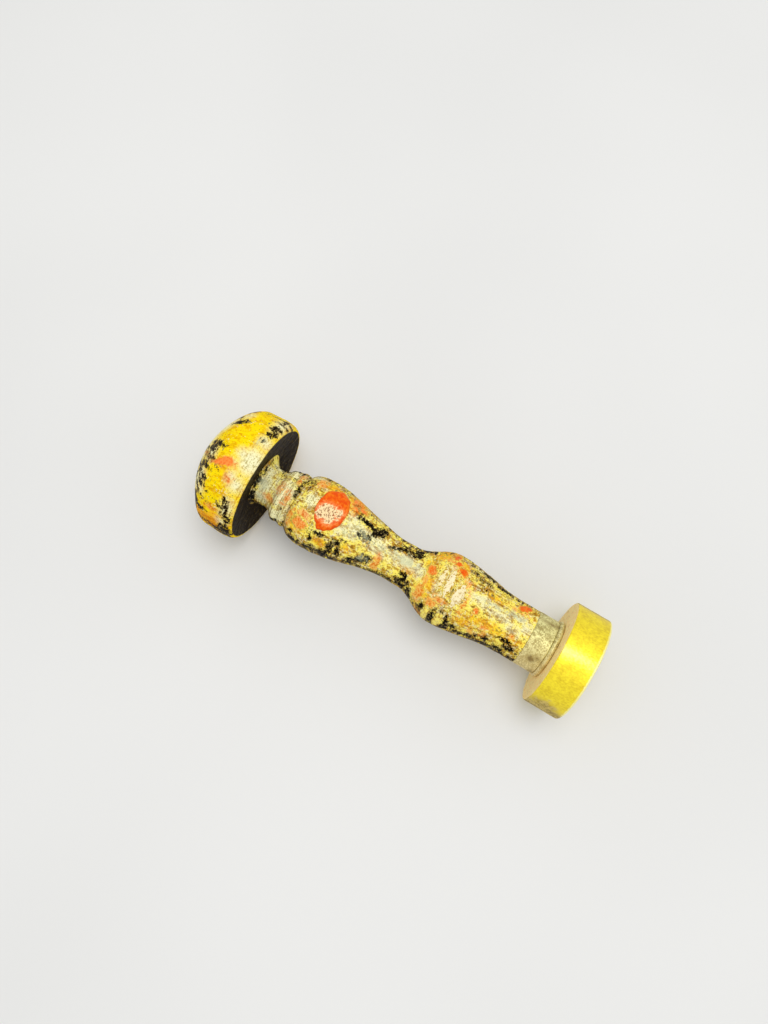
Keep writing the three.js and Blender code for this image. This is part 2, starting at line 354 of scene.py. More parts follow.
def addFloor():
    half, drop = 1.5, -0.00013  # the round rims reach a hair below the flats of the CAD
    mesh = bpy.data.meshes.new("floor")
    corners = [(-half, -half, drop), (half, -half, drop), (half, half, drop), (-half, half, drop)]
    mesh.from_pydata(corners, [], [(0, 1, 2, 3)])
    floor = addObject("floor", mesh)

    def paper(wire):
        place = wire.node("TexCoord", None, None, "Object")
        tone = place.cloud(6, 2, 0.55).ramp(0.3, 0.7)
        return {"Base Color": tone.over((226, 226, 224), (231, 231, 229)),
                "Roughness": 0.85, "Specular IOR Level": 0.2}
    mesh.materials.append(finish("palePaper", paper))


addCamera()
addLight()
addFloor()
print("camera, light and floor made")

# The matrix: a thick brass disc, with a generic rosette cut in its face
matrix = {
    "radius": 12.7,
    "edge": 0.35,
    "boreRadius": 2.62,
    "boreFloor": 3.0,
    "dieDepth": 0.8,
    "cutEdge": (0.08, 0.3),  # mm outside its outline that the cut starts, softness
    "border": (9.9, 10.6),
    "boss": 1.3,
    "petals": 8,
    "petalStart": 2.3,
    "petalLength": 5.6,
    "petalBulge": 1.3,  # half width in the middle of a petal
    "step": 0.15,  # mm between the mesh's rings
    "sides": 340,  # flats round the mesh
    "dents": (0.5, 7.3, 0.04),
    "unstained": -3,
    "rimDepth": 0.6,  # mm inside the radius that still count as the rim
    "bright": (250, 230, 44),
    "deep": (220, 190, 26),
    # painted highlight along the edge of the die face
    "edgeHighlight": (255, 248, 170),
    # tarnish colours, also painted shade on the rim's low and far sides
    "tarnishAndShade": (122, 98, 52),
    "tarnishAndShadePale": (204, 180, 108),
    # painted highlight: paler brass where the lamp's highlight lies on the top of the rim
    "paintedHighlight": (255, 252, 190),
    "paintedHighlightMarks": [(7.4, -1, 1.4, 4), (5.2, 0, 2.2, 3)],
    "stains": [  # tarnish on its rim, with painted shade on its low and far sides
        (4.2, -96, 9, 50), (5, -68, 3.4, 14), (4.2, 88, 8, 40), (2.4, 152, 0.9, 30, 6),
        (6.2, -148, 0.8, 26, -6), (4.6, 176, 0.4, 20),
    ],
    "dull": (255, 240, 172),
    "dullDark": (252, 206, 124),
    "dullSpot": (170, 132, 70),
    "face": (244, 226, 112),
    "faceDeep": (206, 178, 78),
    "recess": (120, 92, 44),
}


def dieCut(radius, distance, turn):  # how deep the face is cut, as a shift inwards
    x, z = radius * np.sin(turn), radius * np.cos(turn)
    inner, outer = matrix["border"]
    cut = np.minimum(radius - inner, outer - radius)
    cut = np.maximum(cut, matrix["boss"] - radius)
    half = matrix["petalLength"] / 2
    for i in range(matrix["petals"]):
        lean = (i + 0.5) * 2 * math.pi / matrix["petals"]
        out = x * math.cos(lean) - z * math.sin(lean) - matrix["petalStart"] - half
        across = np.abs(x * math.sin(lean) + z * math.cos(lean))
        width = matrix["petalBulge"] * (1 - (out / half) ** 2)
        cut = np.maximum(cut, np.where(np.abs(out) < half, width - across, -1))
    outside, soft = matrix["cutEdge"]
    return -np.where(distance < 1e-4, bump(cut + outside, soft), 0) * matrix["dieDepth"]


def matrixPush(radius, distance, turn):
    points = placed(radius, distance, turn)
    outer = radius.ravel() > matrix["radius"] - matrix["rimDepth"]
    dents = np.zeros(len(points))
    dents[outer] = worn(points[outer], matrix["dents"])
    return dieCut(radius, distance, turn) + dents.reshape(radius.shape)


def addMatrix():
    m = matrix
    edge, back = m["edge"], discThickness
    outline = [(0, 0), (m["radius"] - edge, 0)]
    outline += arc(m["radius"] - edge, edge, edge, edge, -1, 0, 5)
    outline += arc(m["radius"] - edge, back - edge, edge, edge, 0, 1, 5)
    outline += [(m["boreRadius"], back), (m["boreRadius"], m["boreFloor"]), (0, m["boreFloor"])]
    piece = turned("brass_disc", dense(outline, m["step"]), m["sides"], matrixPush)

    def brass(wire):
        spot = wire.kept("spot", "Vector")
        mottle = spot.cloud(0.55, 5, 0.65)
        speck = spot.stretched((1, 0.6, 1)).cloud(2.6, 3, 0.6)
        lathe = spot.stretched((0.3, 9.0, 0.3)).cloud(1.0, 4, 0.7)
        along = spot.node("SeparateXYZ", None, {0: spot}, 1)
        backFace = along.ramp(discThickness - 0.08, discThickness - 0.02)
        dieFace = 1 - along.ramp(0.02, 0.1)
        tone = (mottle * 0.45 + speck * 0.55).ramp(0.30, 0.66)
        rimShade = tone.over(m["deep"], m["bright"])
        # painted highlight along the die face's edge
        edgeHighlightMask = 1 - (along + (speck - 0.5) * 0.6).ramp(0.3, 0.6)
        rimShade = (edgeHighlightMask * 0.9).over(rimShade, m["edgeHighlight"])
        # painted highlight on the top of the rim
        paintedHighlight = (wire.kept("paintedHighlight") + (speck - 0.5) * 4.0).ramp(-1.6, 1.4)
        rimShade = (paintedHighlight * 0.45).over(rimShade, m["paintedHighlight"])
        # tarnish, with painted shade darkening the rim's low and far sides
        stain = (wire.kept("stain") + (mottle - 0.5) * 5 + (speck - 0.5) * 3.4).ramp(-0.9, 1.3)
        tarnishAndShadeTone = (speck * 0.5 + mottle * 0.5).ramp(0.43, 0.57).over(m["tarnishAndShade"], m["tarnishAndShadePale"])
        rimShade = (stain * 0.9).over(rimShade, tarnishAndShadeTone)
        dull = (speck * 0.5 + spot.cloud(1.3, 4, 0.6) * 0.5).ramp(0.38, 0.60)
        dulled = dull.over(m["dullDark"], m["dull"])
        spotted = (spot.cloud(0.8, 3, 0.6) * 0.5 + speck * 0.5).ramp(0.57, 0.63)
        dulled = (spotted * 0.7).over(dulled, m["dullSpot"])
        face = (mottle * 0.6 + speck * 0.4).ramp(0.36, 0.62).over(m["faceDeep"], m["face"])
        cut = (wire.kept("cut") + (mottle - 0.5) * 1.4 + (speck - 0.5) * 0.8).ramp(0.25, 0.95)
        face = (cut * 0.85).over(face, m["recess"])
        shade = dieFace.over(backFace.over(rimShade, dulled), face)
        fine = raised(wire, lathe, 0.03, 0.5)
        fine = raised(wire, speck + mottle * 0.5, 0.06, 0.5, fine)
        return {"Base Color": shade,
                "Metallic": 0.62 - backFace * 0.55 - stain * 0.25 - dieFace * cut * 0.3,
                "Roughness": 0.47 + tone * 0.06 + stain * 0.18 + backFace * 0.2,
                "Coat Weight": 0.1 - backFace * 0.1 - stain * 0.1,
                "Coat Roughness": 0.3,
                "Normal": fine}
    distance, turn, radius = spots(piece)
    stain = markField(m["stains"], distance, turn, radius)
    remember(piece.data, "stain", np.where(radius > m["radius"] - m["rimDepth"], stain, m["unstained"]))
    remember(piece.data, "cut", -dieCut(radius, distance, np.radians(turn)) / m["dieDepth"])
    remember(piece.data, "paintedHighlight", markField(m["paintedHighlightMarks"], distance, turn, radius))
    dress(piece, finish("rubbedBrass", brass), "brass_matrix", "seal_matrix")


addMatrix()
print("brass disc made")

# Foot ring and ferrule: dull, tarnished brass
ring = {
    "radius": 7.1,
    "height": 1.25,
    "start": 8.42,
    "bore": 2.62,
    "step": 0.3,
    "sides": 240,
    "dents": (0.6, 2.0, 0.04),
}
collar = {
    "radius": 6.65,
    "wall": 0.6,
    "edge": 0.2,
    "start": 9.7,
    "length": 5.05,
    "step": 0.2,
    "sides": 240,
    "dents": (0.45, 5.0, 0.05),
    "pale": (226, 221, 154),
    "deep": (166, 152, 88),
    "brown": (128, 102, 46),
    "tanAndLowLight": (232, 210, 150),
    "tanAndLowLightDeep": (204, 178, 112),
    "lowLightAround": [(-100, 1.0), (-50, 0.8), (0, 0.1), (20, 0.0)],  # turn, and how much of the warm, lighter tone: painted light on the low side
    "ringTan": 0.3,  # the foot ring is that much more tanned
    "stains": [  # dark stains on the ferrule
        (12.2, -43, 1, 9, 20), (11, -36, 0.7, 5), (11.6, 43, 1.6, 4), (10.1, 46, 0.5, 6), (13.9, 68, 0.8, 6),
        (10.4, -84, 0.6, 12), (14.2, 150, 0.9, 14, 10), (11.5, -160, 1.2, 12, 30), (12.8, 120, 0.8, 10),
    ],
}


def dullBrass(wire):
    spot = wire.kept("spot", "Vector")
    mottle = spot.cloud(0.7, 5, 0.6)
    speck = spot.cloud(2.8, 3, 0.65)
    stain = (wire.kept("stain") + (mottle - 0.5) * 2.4 + (speck - 0.5) * 2.0).ramp(-0.4, 0.8)
    tone = (mottle * 0.5 + speck * 0.5).ramp(0.40, 0.58)
    shade = tone.over(collar["deep"], collar["pale"])
    # warm, lighter tone, most on the low side: painted light; on the foot ring also its own tan
    tanAndLowLightTone = tone.over(collar["tanAndLowLightDeep"], collar["tanAndLowLight"])
    shade = (wire.kept("tanAndLowLight") * 0.7).over(shade, tanAndLowLightTone)
    shade = (stain * 0.9).over(shade, collar["brown"])
    fine = raised(wire, speck * 0.6 + mottle, 0.06, 0.5)
    return {"Base Color": shade,
            "Metallic": 0.25 + tone * 0.15,
            "Roughness": 0.48 + (1 - tone) * 0.12 + stain * 0.1,
            "Normal": fine}


def softDents(form):
    def push(radius, distance, turn):
        return worn(placed(radius, distance, turn), form).reshape(radius.shape)
    return push


def addRings():
    material = finish("tarnishedBrass", dullBrass)
    r = ring
    half = r["height"] / 2
    outline = [(r["bore"], r["start"]), (r["radius"] - half, r["start"])]
    outline += arc(r["radius"] - half, r["start"] + half, half, half, -1, 1, 10)
    outline += [(r["bore"], r["start"] + r["height"]), (r["bore"], r["start"])]
    foot = turned("foot_bead", dense(outline, r["step"]), r["sides"], softDents(r["dents"]))
    c = collar
    edge, end = c["edge"], c["start"] + c["length"]
    bore = c["radius"] - c["wall"]
    outline = [(bore, c["start"]), (c["radius"] - edge, c["start"])]
    outline += arc(c["radius"] - edge, c["start"] + edge, edge, edge, -1, 0, 4)
    outline += arc(c["radius"] - edge, end - edge, edge, edge, 0, 1, 4)
    outline += [(bore, end), (bore, c["start"])]
    sleeve = turned("ferrule_sleeve", dense(outline, c["step"]), c["sides"], softDents(c["dents"]))
    for piece in (foot, sleeve):
        distance, turn, radius = spots(piece)
        remember(piece.data, "stain", markField(c["stains"], distance, turn, radius))
        low = np.interp(turn, *zip(*c["lowLightAround"]))
        remember(piece.data, "tanAndLowLight", low + c["ringTan"] if piece is foot else low)
    dress(foot, material, "brass_dull", "foot_ring")
    dress(sleeve, material, "brass_dull", "ferrule")


addRings()
print("foot ring and ferrule made")

# The tang screw keeps its CAD shape and gets a proper steel finish
tang = {
    "bright": (150, 146, 138),
    "dark": (84, 76, 68),
}


def addTang():
    def steel(wire):
        spot = wire.node("TexCoord", None, None, "Object")
        grime = spot.cloud(900, 4, 0.6)
        return {"Base Color": grime.ramp(0.35, 0.65).over(tang["dark"], tang["bright"]),
                "Metallic": 0.9,
                "Roughness": 0.35 + grime * 0.3,
                "Normal": raised(wire, grime, 0.05, 0.4)}
    node = frame["nodes"]["tang_screw"]
    node.data.materials.clear()
    node.data.materials.append(finish("screwSteel", steel))


addTang()

# Worn wood: yellow wood with black lacquer left on it in chips and flecks, pale bloom with painted
# highlights, and stains of red wax. Handle and knob use it, each with its own marks; more lacquer towards
# the low and far sides is partly painted shade.
wood = {
    "cream": (250, 246, 200),
    "creamGrey": (190, 180, 118),
    "filmAndSheen": (196, 199, 158),
    "lacquerWorn": (210, 184, 112),
    "brown": (118, 80, 24),
    "smear": (230, 106, 24),
    "smearPale": (252, 196, 100),
    "wax": (254, 148, 66),
    "waxDeep": (242, 112, 36),
    "farSide": (92, 262),  # turns between which the random marks lie
    "tilts": (-30, 30),
    "edges": {"scuffs": (0.5, 1.2), "bare": (0.3, 0.8)},  # mm outside that a mark starts, softness
}


def wornWood(look):
    def build(wire):
        w, soft = wood, look["softBloomAndSheen"]
        spot = wire.kept("spot", "Vector")
        grain = spot.stretched((1.1, 0.38, 1.1)).cloud(1.5, 3, 0.7)
        dash = spot.stretched((0.7, 1.2, 0.7)).cloud(1.3, 3, 0.7)
        broad = spot.stretched((0.35, 1.2, 0.35)).cloud(1.0, 3, 0.7)
        patch = spot.stretched((1, 0.7, 1)).cloud(0.5, 4, 0.65)
        fine = spot.cloud(2.4, 2, 0.7)
        lathe = (spot.stretched((0.2, 3.0, 0.2)).cloud(1.0, 3, 0.6) - 0.5) * wire.kept("lines")
        ragged = ((spot.cloud(1.1, 5, 0.78) - 0.5) * 4.2 + (fine - 0.5) * 1.2) * look["ragged"]
        uneven = (patch - 0.5) * 0.5 + lathe
        light = grain * 0.5 + dash * 0.2 + fine * 0.3 + uneven
        tone = light.ramp(look["low"], look["high"])
        shade = tone.over(look["deep"], look["bright"])
        golden = (wire.kept("amber") + ragged).ramp(-0.8, 0.6)
        goldenShade = light.ramp(0.44, 0.56).over(look["amberDeep"], look["amber"])
        shade = (golden * 0.9).over(shade, goldenShade)
        even = dash * 0.5 + fine * 0.5
        creamSpeck = (grain - fine + dash - patch).ramp(look["speckle"], look["speckle"] + 0.12)
        shade = (creamSpeck * (0.6 - golden * 0.4)).over(shade, w["cream"])
        # pale bloom, partly painted highlights along the top
        bloomAndSheenMask = (wire.kept("bloom") + ragged * (1.1 - soft)).ramp(-0.8 - soft, 1.0 + soft)
        bloomAndSheenTone = (dash * 0.3 + grain * 0.2 + fine * 0.5 + lathe).ramp(0.41 - soft * 0.04, 0.53)
        bloomAndSheenShade = bloomAndSheenTone.over(w["creamGrey"], w["cream"])
        shade = (bloomAndSheenMask * (0.86 + soft * 0.12)).over(shade, bloomAndSheenShade)
        brownSpeck = (fine - grain + dash - patch).ramp(look["speckle"] + 0.03, look["speckle"] + 0.12)
        brownSpeck = brownSpeck * (1 - bloomAndSheenMask * (0.3 + soft * 0.9))
        shade = (brownSpeck * (0.7 - soft * 0.4 - golden * 0.3)).over(shade, w["brown"])
        scored = (0 - lathe).ramp(0.03, 0.11)  # dark in the turned lines
        shade = (scored * 0.55).over(shade, w["brown"])
        left = wire.kept("left")  # how much lacquer is left, more towards the low and far sides as painted shade
        kept = dash * 0.4 + grain * 0.35 + fine * 0.25 + left * 0.34 + uneven * 0.6
        kept = kept + (broad - 0.5) * left.ramp(0.0, 0.25)
        veil = (kept - bloomAndSheenMask * 0.03).ramp(0.53, 0.60)
        shade = (veil * 0.75).over(shade, w["brown"])
        smeared = (wire.kept("smear") + ragged * 1.1).ramp(-0.4, 0.5)
        smearShade = even.ramp(0.43, 0.57).over(w["smear"], w["smearPale"])
        shade = (smeared * 0.85).over(shade, smearShade)
        chip = (wire.kept("chip") + 0.28 + ragged).ramp(-0.05, 0.05)
        lacquer = chip.larger(kept.ramp(0.597, 0.617))
        hole = even.ramp(0.55, 0.59)
        hole = hole * (1 - left.ramp(0.8, 1.6) * 0.85)
        black = (hole * (0.85 - chip * 0.45)).over(look["lacquer"], w["lacquerWorn"])
        shade = (lacquer * (1 - smeared * 0.5)).over(shade, black)
        # grey-green film, partly a painted sheen
        filmAndSheenMask = (wire.kept("filmAndSheen") + ragged * 1.2).ramp(-0.6, 1.0)
        shade = (filmAndSheenMask * 0.7).over(shade, w["filmAndSheen"])
        waxed = (wire.kept("wax") + ragged * 0.25).ramp(-0.3, 0.25)
        waxShade = even.ramp(0.40, 0.56).over(w["waxDeep"], w["wax"])
        shade = waxed.over(shade, waxShade)
        smooth = lacquer.larger(waxed)
        relief = raised(wire, grain * 0.7 + dash * 0.6, 0.14, 0.7)
        relief = raised(wire, smooth + smeared * 0.3 + lathe, 0.08, 0.6, relief)
        return {"Base Color": shade,
                "Roughness": 0.55 - lacquer * 0.22 - waxed * 0.2 + fine * 0.10,
                "Specular IOR Level": 0.015,
                "Coat Weight": waxed * 0.2 + filmAndSheenMask * 0.1,
                "Coat Roughness": 0.2,
                "Normal": relief}
    return build


handle = {
    "step": 0.28,
    "sides": 184,
    "rubbing": {"scuffs": 0.25, "bare": -0.34},  # lacquer that a mark adds
    "foot": 9.8,
    "spigot": 5.95,
    "shoulder": 14.78,
    "shaft": (6.6, 19.0),  # radius, and where it ends
    "bulb": (8.75, 36.4),
    "waist": (5.1, 46.5, 48.5),
    "belly": (8.8, 71.0),
    "groove": 6.5,
    "bellyFall": 5.3,
    "lowerBead": (7.1, 76.3, 2.3),
    "upperBead": (6.75, 78.6, 2.3),
    "collarRadius": 6.1,
    "neck": (5.0, 80.9, 86.58),
    "flare": 6.6,
    "tenon": (3.4, 94.0),
    "bore": (2.62, 27.7),
    "seed": 11,
    "hidden": {  # how many, and the ranges of place and half sizes
        "chip": (46, (16, 86), (0.4, 2.2), (3, 10)),
        "bloom": (16, (16, 86), (1.0, 3.5), (6, 16)),
        "smear": (14, (20, 82), (0.5, 1.6), (4, 14)),
    },
    "lines": [(60, 0.1), (76, 0.4), (78, 0.8), (87, 0.45)],  # distance, and how clear they are
    # more black lacquer towards the low and far sides: partly painted shade
    "around": [
        (-180, 0.2), (-95, 0.34), (-78, 0.24), (-55, 0.05), (-35, -0.02), (-15, -0.08), (25, -0.04),
        (45, 0.02), (60, 0.12), (80, 0.2), (180, 0.2),
    ],
    "chip": [  # black lacquer that stands whole
        (54.7, 38, 0.7, 8, 8), (55.4, 29, 0.9, 7, 15), (56.2, 18, 0.7, 6, 40), (59.2, 29, 1.6, 2.2),
        (57.2, 26, 0.7, 3), (60.6, 27, 0.6, 2), (50.6, 18, 1, 2.6, -35), (49.1, 26, 0.6, 3, -35),
        (47.5, 32, 0.6, 3, -35), (55, -38, 0.7, 4), (56.6, -52, 0.8, 4), (45.8, 37, 0.5, 3, -30),
        (56.9, 4, 0.5, 3, 30), (57.9, 0, 0.8, 2.2, 30), (59, -2, 0.6, 2.4), (45.9, -33, 0.6, 5),
        (45.6, -46, 0.5, 6), (46.9, -56, 0.7, 7), (43.3, -60, 0.5, 6), (46.4, -66, 1, 5),
        (62.7, -36, 0.55, 3), (63.8, -46, 0.6, 7), (61.8, -55, 0.4, 7), (67.4, -35, 0.55, 1.4),
        (68.8, -50, 0.4, 2.5), (65.2, -70, 1, 4.5), (68.4, -72, 1.2, 3), (67, -70, 0.8, 3),
        (73.6, -58, 0.4, 3), (23, -76, 1.8, 6), (73.4, -77, 1.4, 5), (18.9, -38, 0.7, 2.5),
        (17, -50, 0.5, 5), (23.2, -56, 0.6, 6), (19.6, -66, 0.8, 5), (30.6, -60, 0.6, 4),
        (32.4, -61, 0.5, 6), (26.6, -68, 0.8, 5), (83.4, 74, 0.8, 8), (80.9, 68, 0.8, 8), (43.4, 64, 0.8, 6),
        (23.6, 62, 0.8, 4), (28.4, 63, 0.9, 4), (58.4, -60, 0.7, 4), (36, -70, 0.5, 11), (35.9, -52, 0.4, 5),
        (39.4, -78, 0.4, 9), (62.2, 41, 0.3, 2.5), (61, 37, 0.3, 2, 20), (63.4, 46, 0.3, 3),
        (32.6, -73, 0.6, 8), (38.9, -56, 0.35, 4), (46.2, 26, 0.4, 3), (44.6, 30, 0.4, 4),
        (48.4, 37, 0.5, 3, -30), (45.2, 46, 0.5, 4), (53.2, -76, 0.6, 6), (58.6, -74, 0.8, 5),
        (48.6, -74, 0.8, 5), (86.2, -16, 0.3, 24), (76.6, 14, 0.15, 4), (76.5, 31, 0.2, 5),
        (86.3, -62, 0.4, 20), (86.2, -84, 0.5, 14),
    ],
    "scuffs": [  # dark, thin lacquer rubbed to olive brown; along the low and far sides partly painted shade
        (30.2, 40, 3.2, 10), (25.6, 58, 2.6, 8), (20.4, 60, 2.4, 8), (33.5, 60, 2, 6), (55.8, -46, 1.9, 13),
        (24, -60, 2.4, 10), (28.2, 60, 2.6, 8), (43.6, 58, 2.6, 12), (48.6, 58, 2.6, 8),
        (17.2, -48, 2.2, 14), (57.9, 1, 1.8, 6, 25), (46.4, 33, 3.4, 11, -20), (33.4, -46, 1.8, 10),
        (27.6, 27, 2.4, 7), (75, 30, 1.5, 18), (76.3, -25, 0.4, 50), (78.7, -10, 0.3, 70),
        (79.5, -15, 0.3, 10), (76.6, 20, 0.4, 14), (78.2, -38, 0.3, 6), (63.6, -56, 3.4, 10),
        (44.8, -50, 2.4, 14), (86.6, 0, 0.25, 120), (55.8, 22, 1.9, 8), (61.5, -30, 1.2, 6),
        (58.4, -58, 1.6, 9), (20, -78, 6, 12), (66.5, -81, 6, 9), (44, -72, 2.5, 10), (79.5, 66, 4, 8),
        (34.5, -3, 0.35, 20), (36.9, 4, 0.3, 20), (58.5, -76, 2, 6), (73.8, -76, 3, 9), (23.4, -74, 3, 8),
        (28.6, -73, 2.2, 8), (32, -76, 1.2, 7), (43.2, 62, 2.4, 9),
    ],
    "bare": [  # rubbed clean among the dark
        (20.9, -49, 1.3, 6), (24.6, -64, 0.5, 8), (34.3, -62, 1.2, 18), (37.6, -68, 0.8, 14),
        (26.9, -50, 1, 5), (53.2, -50, 1, 28), (72, -50, 2.6, 12), (66.2, -54, 2.4, 7), (59.6, -48, 1.2, 10),
        (48.6, -40, 1.6, 12), (29, -50, 0.8, 8), (79, -62, 2, 15), (84, -64, 1.4, 10), (79.2, 45, 1.2, 10),
        (86.2, 72, 0.9, 20),
    ],
    "bloom": [  # pale, waxy, rubbed places, and painted highlights along the top
        (18.4, 15, 2.6, 9), (22, -1, 5.5, 6), (24.4, 8, 1.4, 8), (16, 4, 1.4, 12), (28.6, 6, 3, 9),
        (33, -5, 1.1, 16), (36.3, 0, 0.6, 22), (37.9, 4, 0.6, 18), (34.4, -59, 0.9, 15), (18.8, -12, 1.6, 7),
        (37.6, -69, 0.8, 12), (47.4, 1, 4.6, 12), (55.5, 6, 4, 12), (60, 5, 3.4, 14), (61.5, 20, 1.6, 6),
        (72.4, 5, 1.6, 12), (84.4, -8, 2.2, 26), (84.2, -48, 2.4, 18), (83.6, 60, 1.8, 14),
        (82.4, 14, 0.8, 12), (79.2, -10, 2.6, 36), (79.4, 52, 2.6, 20), (79.2, -60, 2.4, 18),
        (84.9, 26, 1.4, 14), (62.4, -12, 2.5, 8), (36.4, 24, 0.9, 8), (30.5, 60, 3, 7), (74, 55, 2, 8),
        (53, -14, 3, 8), (48.2, -13, 2.4, 5), (77.6, -50, 1.4, 20), (43, -6, 1, 12), (67.6, 5, 2.4, 14),
        (71.8, -19, 1.2, 6),
    ],
    "amber": [  # deep golden wood
        (22, -29, 2.8, 11, 10), (29, -41, 1.8, 10), (39.8, 46, 2.2, 11), (39.8, -15, 1.4, 13),
        (40.4, -34, 2, 8), (41.2, 20, 1.4, 6), (63, 46, 2.6, 24), (66.2, -48, 1.8, 8), (60.4, -40, 1.2, 8),
        (69.6, 44, 2, 12), (25.4, 24, 1.8, 6), (17, -30, 1.6, 6), (26.5, -28, 2.6, 9), (73, -44, 2.4, 10),
        (38.6, 62, 2.4, 12), (45.6, -16, 1.6, 6), (34.6, 44, 1.6, 8),
    ],
    "filmAndSheen": [  # grey-green film, and a painted grey sheen on the waist
        (19.4, 17, 2.3, 8), (24.8, 10, 1.6, 4), (47.4, 2, 3.6, 9), (52.6, -2, 1.4, 5),
        (57.9, 1, 1.8, 3.4, 25), (56.2, -44, 1, 7), (60.6, -12, 1.4, 4), (84.6, -12, 1.1, 16),
        (84.2, -50, 0.8, 8),
    ],
    "wax": [  # thicker, broken red wax beside the big drop
        (62.9, 37, 0.5, 3, 30), (61.4, 45, 0.6, 4.5), (63.9, 51, 0.5, 6),
    ],
    "smear": [  # thin pinkish wax
        (63, 50, 1.6, 28), (61, 46, 0.9, 10), (53, -46, 0.9, 28), (72.6, 43, 1.2, 13), (72.2, -20, 1.8, 8),
        (75, -36, 0.7, 16), (78.1, -12, 0.8, 16), (80.6, 0, 0.8, 14), (82.2, -37, 1.4, 9),
        (31, -10, 0.4, 22), (32, 16, 0.9, 5), (37.7, -40, 1.5, 9), (41.1, -42, 1.2, 18),
        (40.8, -12, 0.8, 12), (25, -36, 0.9, 4), (26.6, -56, 0.9, 6), (24, -49, 0.6, 8), (18.2, -24, 0.8, 6),
        (18.8, 30, 2, 6), (37.3, 74, 0.7, 16), (34.8, 27, 1.7, 7), (36.6, -28, 1.6, 6), (32.6, 14, 0.7, 7),
        (77.6, 45, 0.6, 10), (39.6, -78, 1.2, 8), (77.4, 30, 0.6, 7), (37.6, 40, 2, 6),
    ],
}


def handleOutline():
    h = handle
    shaftRadius, shaftEnd = h["shaft"]
    bulbRadius, bulbCrest = h["bulb"]
    waistRadius, waistStart, waistEnd = h["waist"]
    bellyRadius, bellyCrest = h["belly"]
    neckRadius, neckStart, neckEnd = h["neck"]
    tenonRadius, tenonEnd = h["tenon"]
    boreRadius, boreEnd = h["bore"]
    groove, collarRadius = h["groove"], h["collarRadius"]
    middle, half = (neckStart + neckEnd) / 2, (neckEnd - neckStart) / 2
    outline = [(0, boreEnd), (boreRadius, boreEnd - 2.2), (boreRadius, h["foot"])]
    outline += [(h["spigot"], h["foot"]), (h["spigot"], h["shoulder"])]
    outline += [(shaftRadius, h["shoulder"])]
    outline += ogee(shaftRadius, bulbRadius, shaftEnd, bulbCrest, 60)
    outline += ogee(bulbRadius, waistRadius, bulbCrest, waistStart, 44)
    outline += ogee(waistRadius, bellyRadius, waistEnd, bellyCrest, 84)
    outline += arc(groove, bellyCrest, bellyRadius - groove, h["bellyFall"], 0, 1, 26)
    outline += bead(groove, groove, *h["lowerBead"], 14)
    outline += bead(groove, collarRadius, *h["upperBead"], 14)
    outline += arc(collarRadius, middle, neckRadius - collarRadius, half, -1, 0, 14)
    outline += arc(h["flare"], middle, neckRadius - h["flare"], half, 0, 1, 14)
    outline += [(tenonRadius, neckEnd), (tenonRadius, tenonEnd), (0, tenonEnd)]
    return dense(outline, h["step"])


handleForm = {
    "ridges": [
        (34.6, -2, 2.6, 24, 0.12), (37.7, 0, 1.6, 22, 0.1), (31.2, -8, 0.3, 24, 0.12),
        (78.5, 88, 0.7, 30, 0.3),
    ],
    "hollows": [
        (34.7, -6, 0.5, 20, 0.25), (43, 0, 1.2, 16, 0.15), (56, 22, 1.6, 8, 0.2), (29.5, 10, 2, 10, 0.15),
        (62, -45, 1.8, 9, 0.15), (80.1, 86, 0.7, 30, 0.3), (77.2, 88, 0.4, 30, 0.15),
    ],
    "flare": [  # turn, and how much wider
        (-180, 0), (-120, -0.3), (-75, -0.7), (-35, -0.1), (40, 0), (56, 0.6), (70, 1.5), (90, 1.4),
        (120, 0.5), (180, 0),
    ],
    "thinnest": 4.2,  # smaller radii are the bore and the tenon
    "slope": (0.25, 0.8),  # mm outside its outline that a ridge or hollow starts, softness
    "flareLength": 1.9,
    "ends": (0.3, 0.2),  # mm at either end that keep the turned shape
    "wobble": (0.22, 3.1, 0.14),
    "dents": (0.9, 9.4, 0.06),
    "beadWear": (0.7, 4.4, 0.16),
    "beads": (79.5, 4.0),  # their middle, and how far their wear reaches
}


def handlePush(radius, distance, turn):
    points = placed(radius, distance, turn)
    flatDistance, flatRadius = distance.ravel(), radius.ravel()
    flatTurn = wrapped(np.degrees(turn.ravel()))
    (lowEnd, highEnd), (outside, soft) = handleForm["ends"], handleForm["slope"]
    outer = (flatDistance > handle["shoulder"] + lowEnd) & (flatRadius > handleForm["thinnest"])
    outer &= flatDistance < handle["neck"][2] - highEnd
    shift = np.zeros(len(points))
    p = points[outer]
    shift[outer] = worn(p, handleForm["wobble"]) + worn(p, handleForm["dents"])
    for sign, group in ((1, "ridges"), (-1, "hollows")):
        for *mark, height in handleForm[group]:
            inside = markField([mark], flatDistance[outer], flatTurn[outer], flatRadius[outer])
            shift[outer] += sign * height * bump(inside + outside, soft)
    middle, reach = handleForm["beads"]
    beads = np.clip(1 - np.abs(flatDistance[outer] - middle) / reach, 0, 1)
    shift[outer] += beads * worn(p, handleForm["beadWear"])
    return shift.reshape(radius.shape)


def handleWiden(radius, distance, turn):  # the flare under the knob is wider on the far side
    h = handle
    more = np.interp(wrapped(np.degrees(turn)), *zip(*handleForm["flare"]))
    end, tenonRadius, length = h["neck"][2], h["tenon"][0], handleForm["flareLength"]
    near = bump(distance - end + length, length) * (distance < end + 1e-3)
    return more * near * np.clip((radius - tenonRadius) / (h["flare"] - tenonRadius), 0, 1)


def lacquerLeft(piece, form):  # "around" gives the lacquer kept as (turn, amount); more towards the low and far sides is partly painted shade
    distance, turn, radius = spots(piece)
    left = np.interp(turn, *zip(*form["around"]))
    for group, amount in form["rubbing"].items():
        outside, soft = wood["edges"][group]
        left += amount * bump(markField(form[group], distance, turn, radius) + outside, soft)
    return left


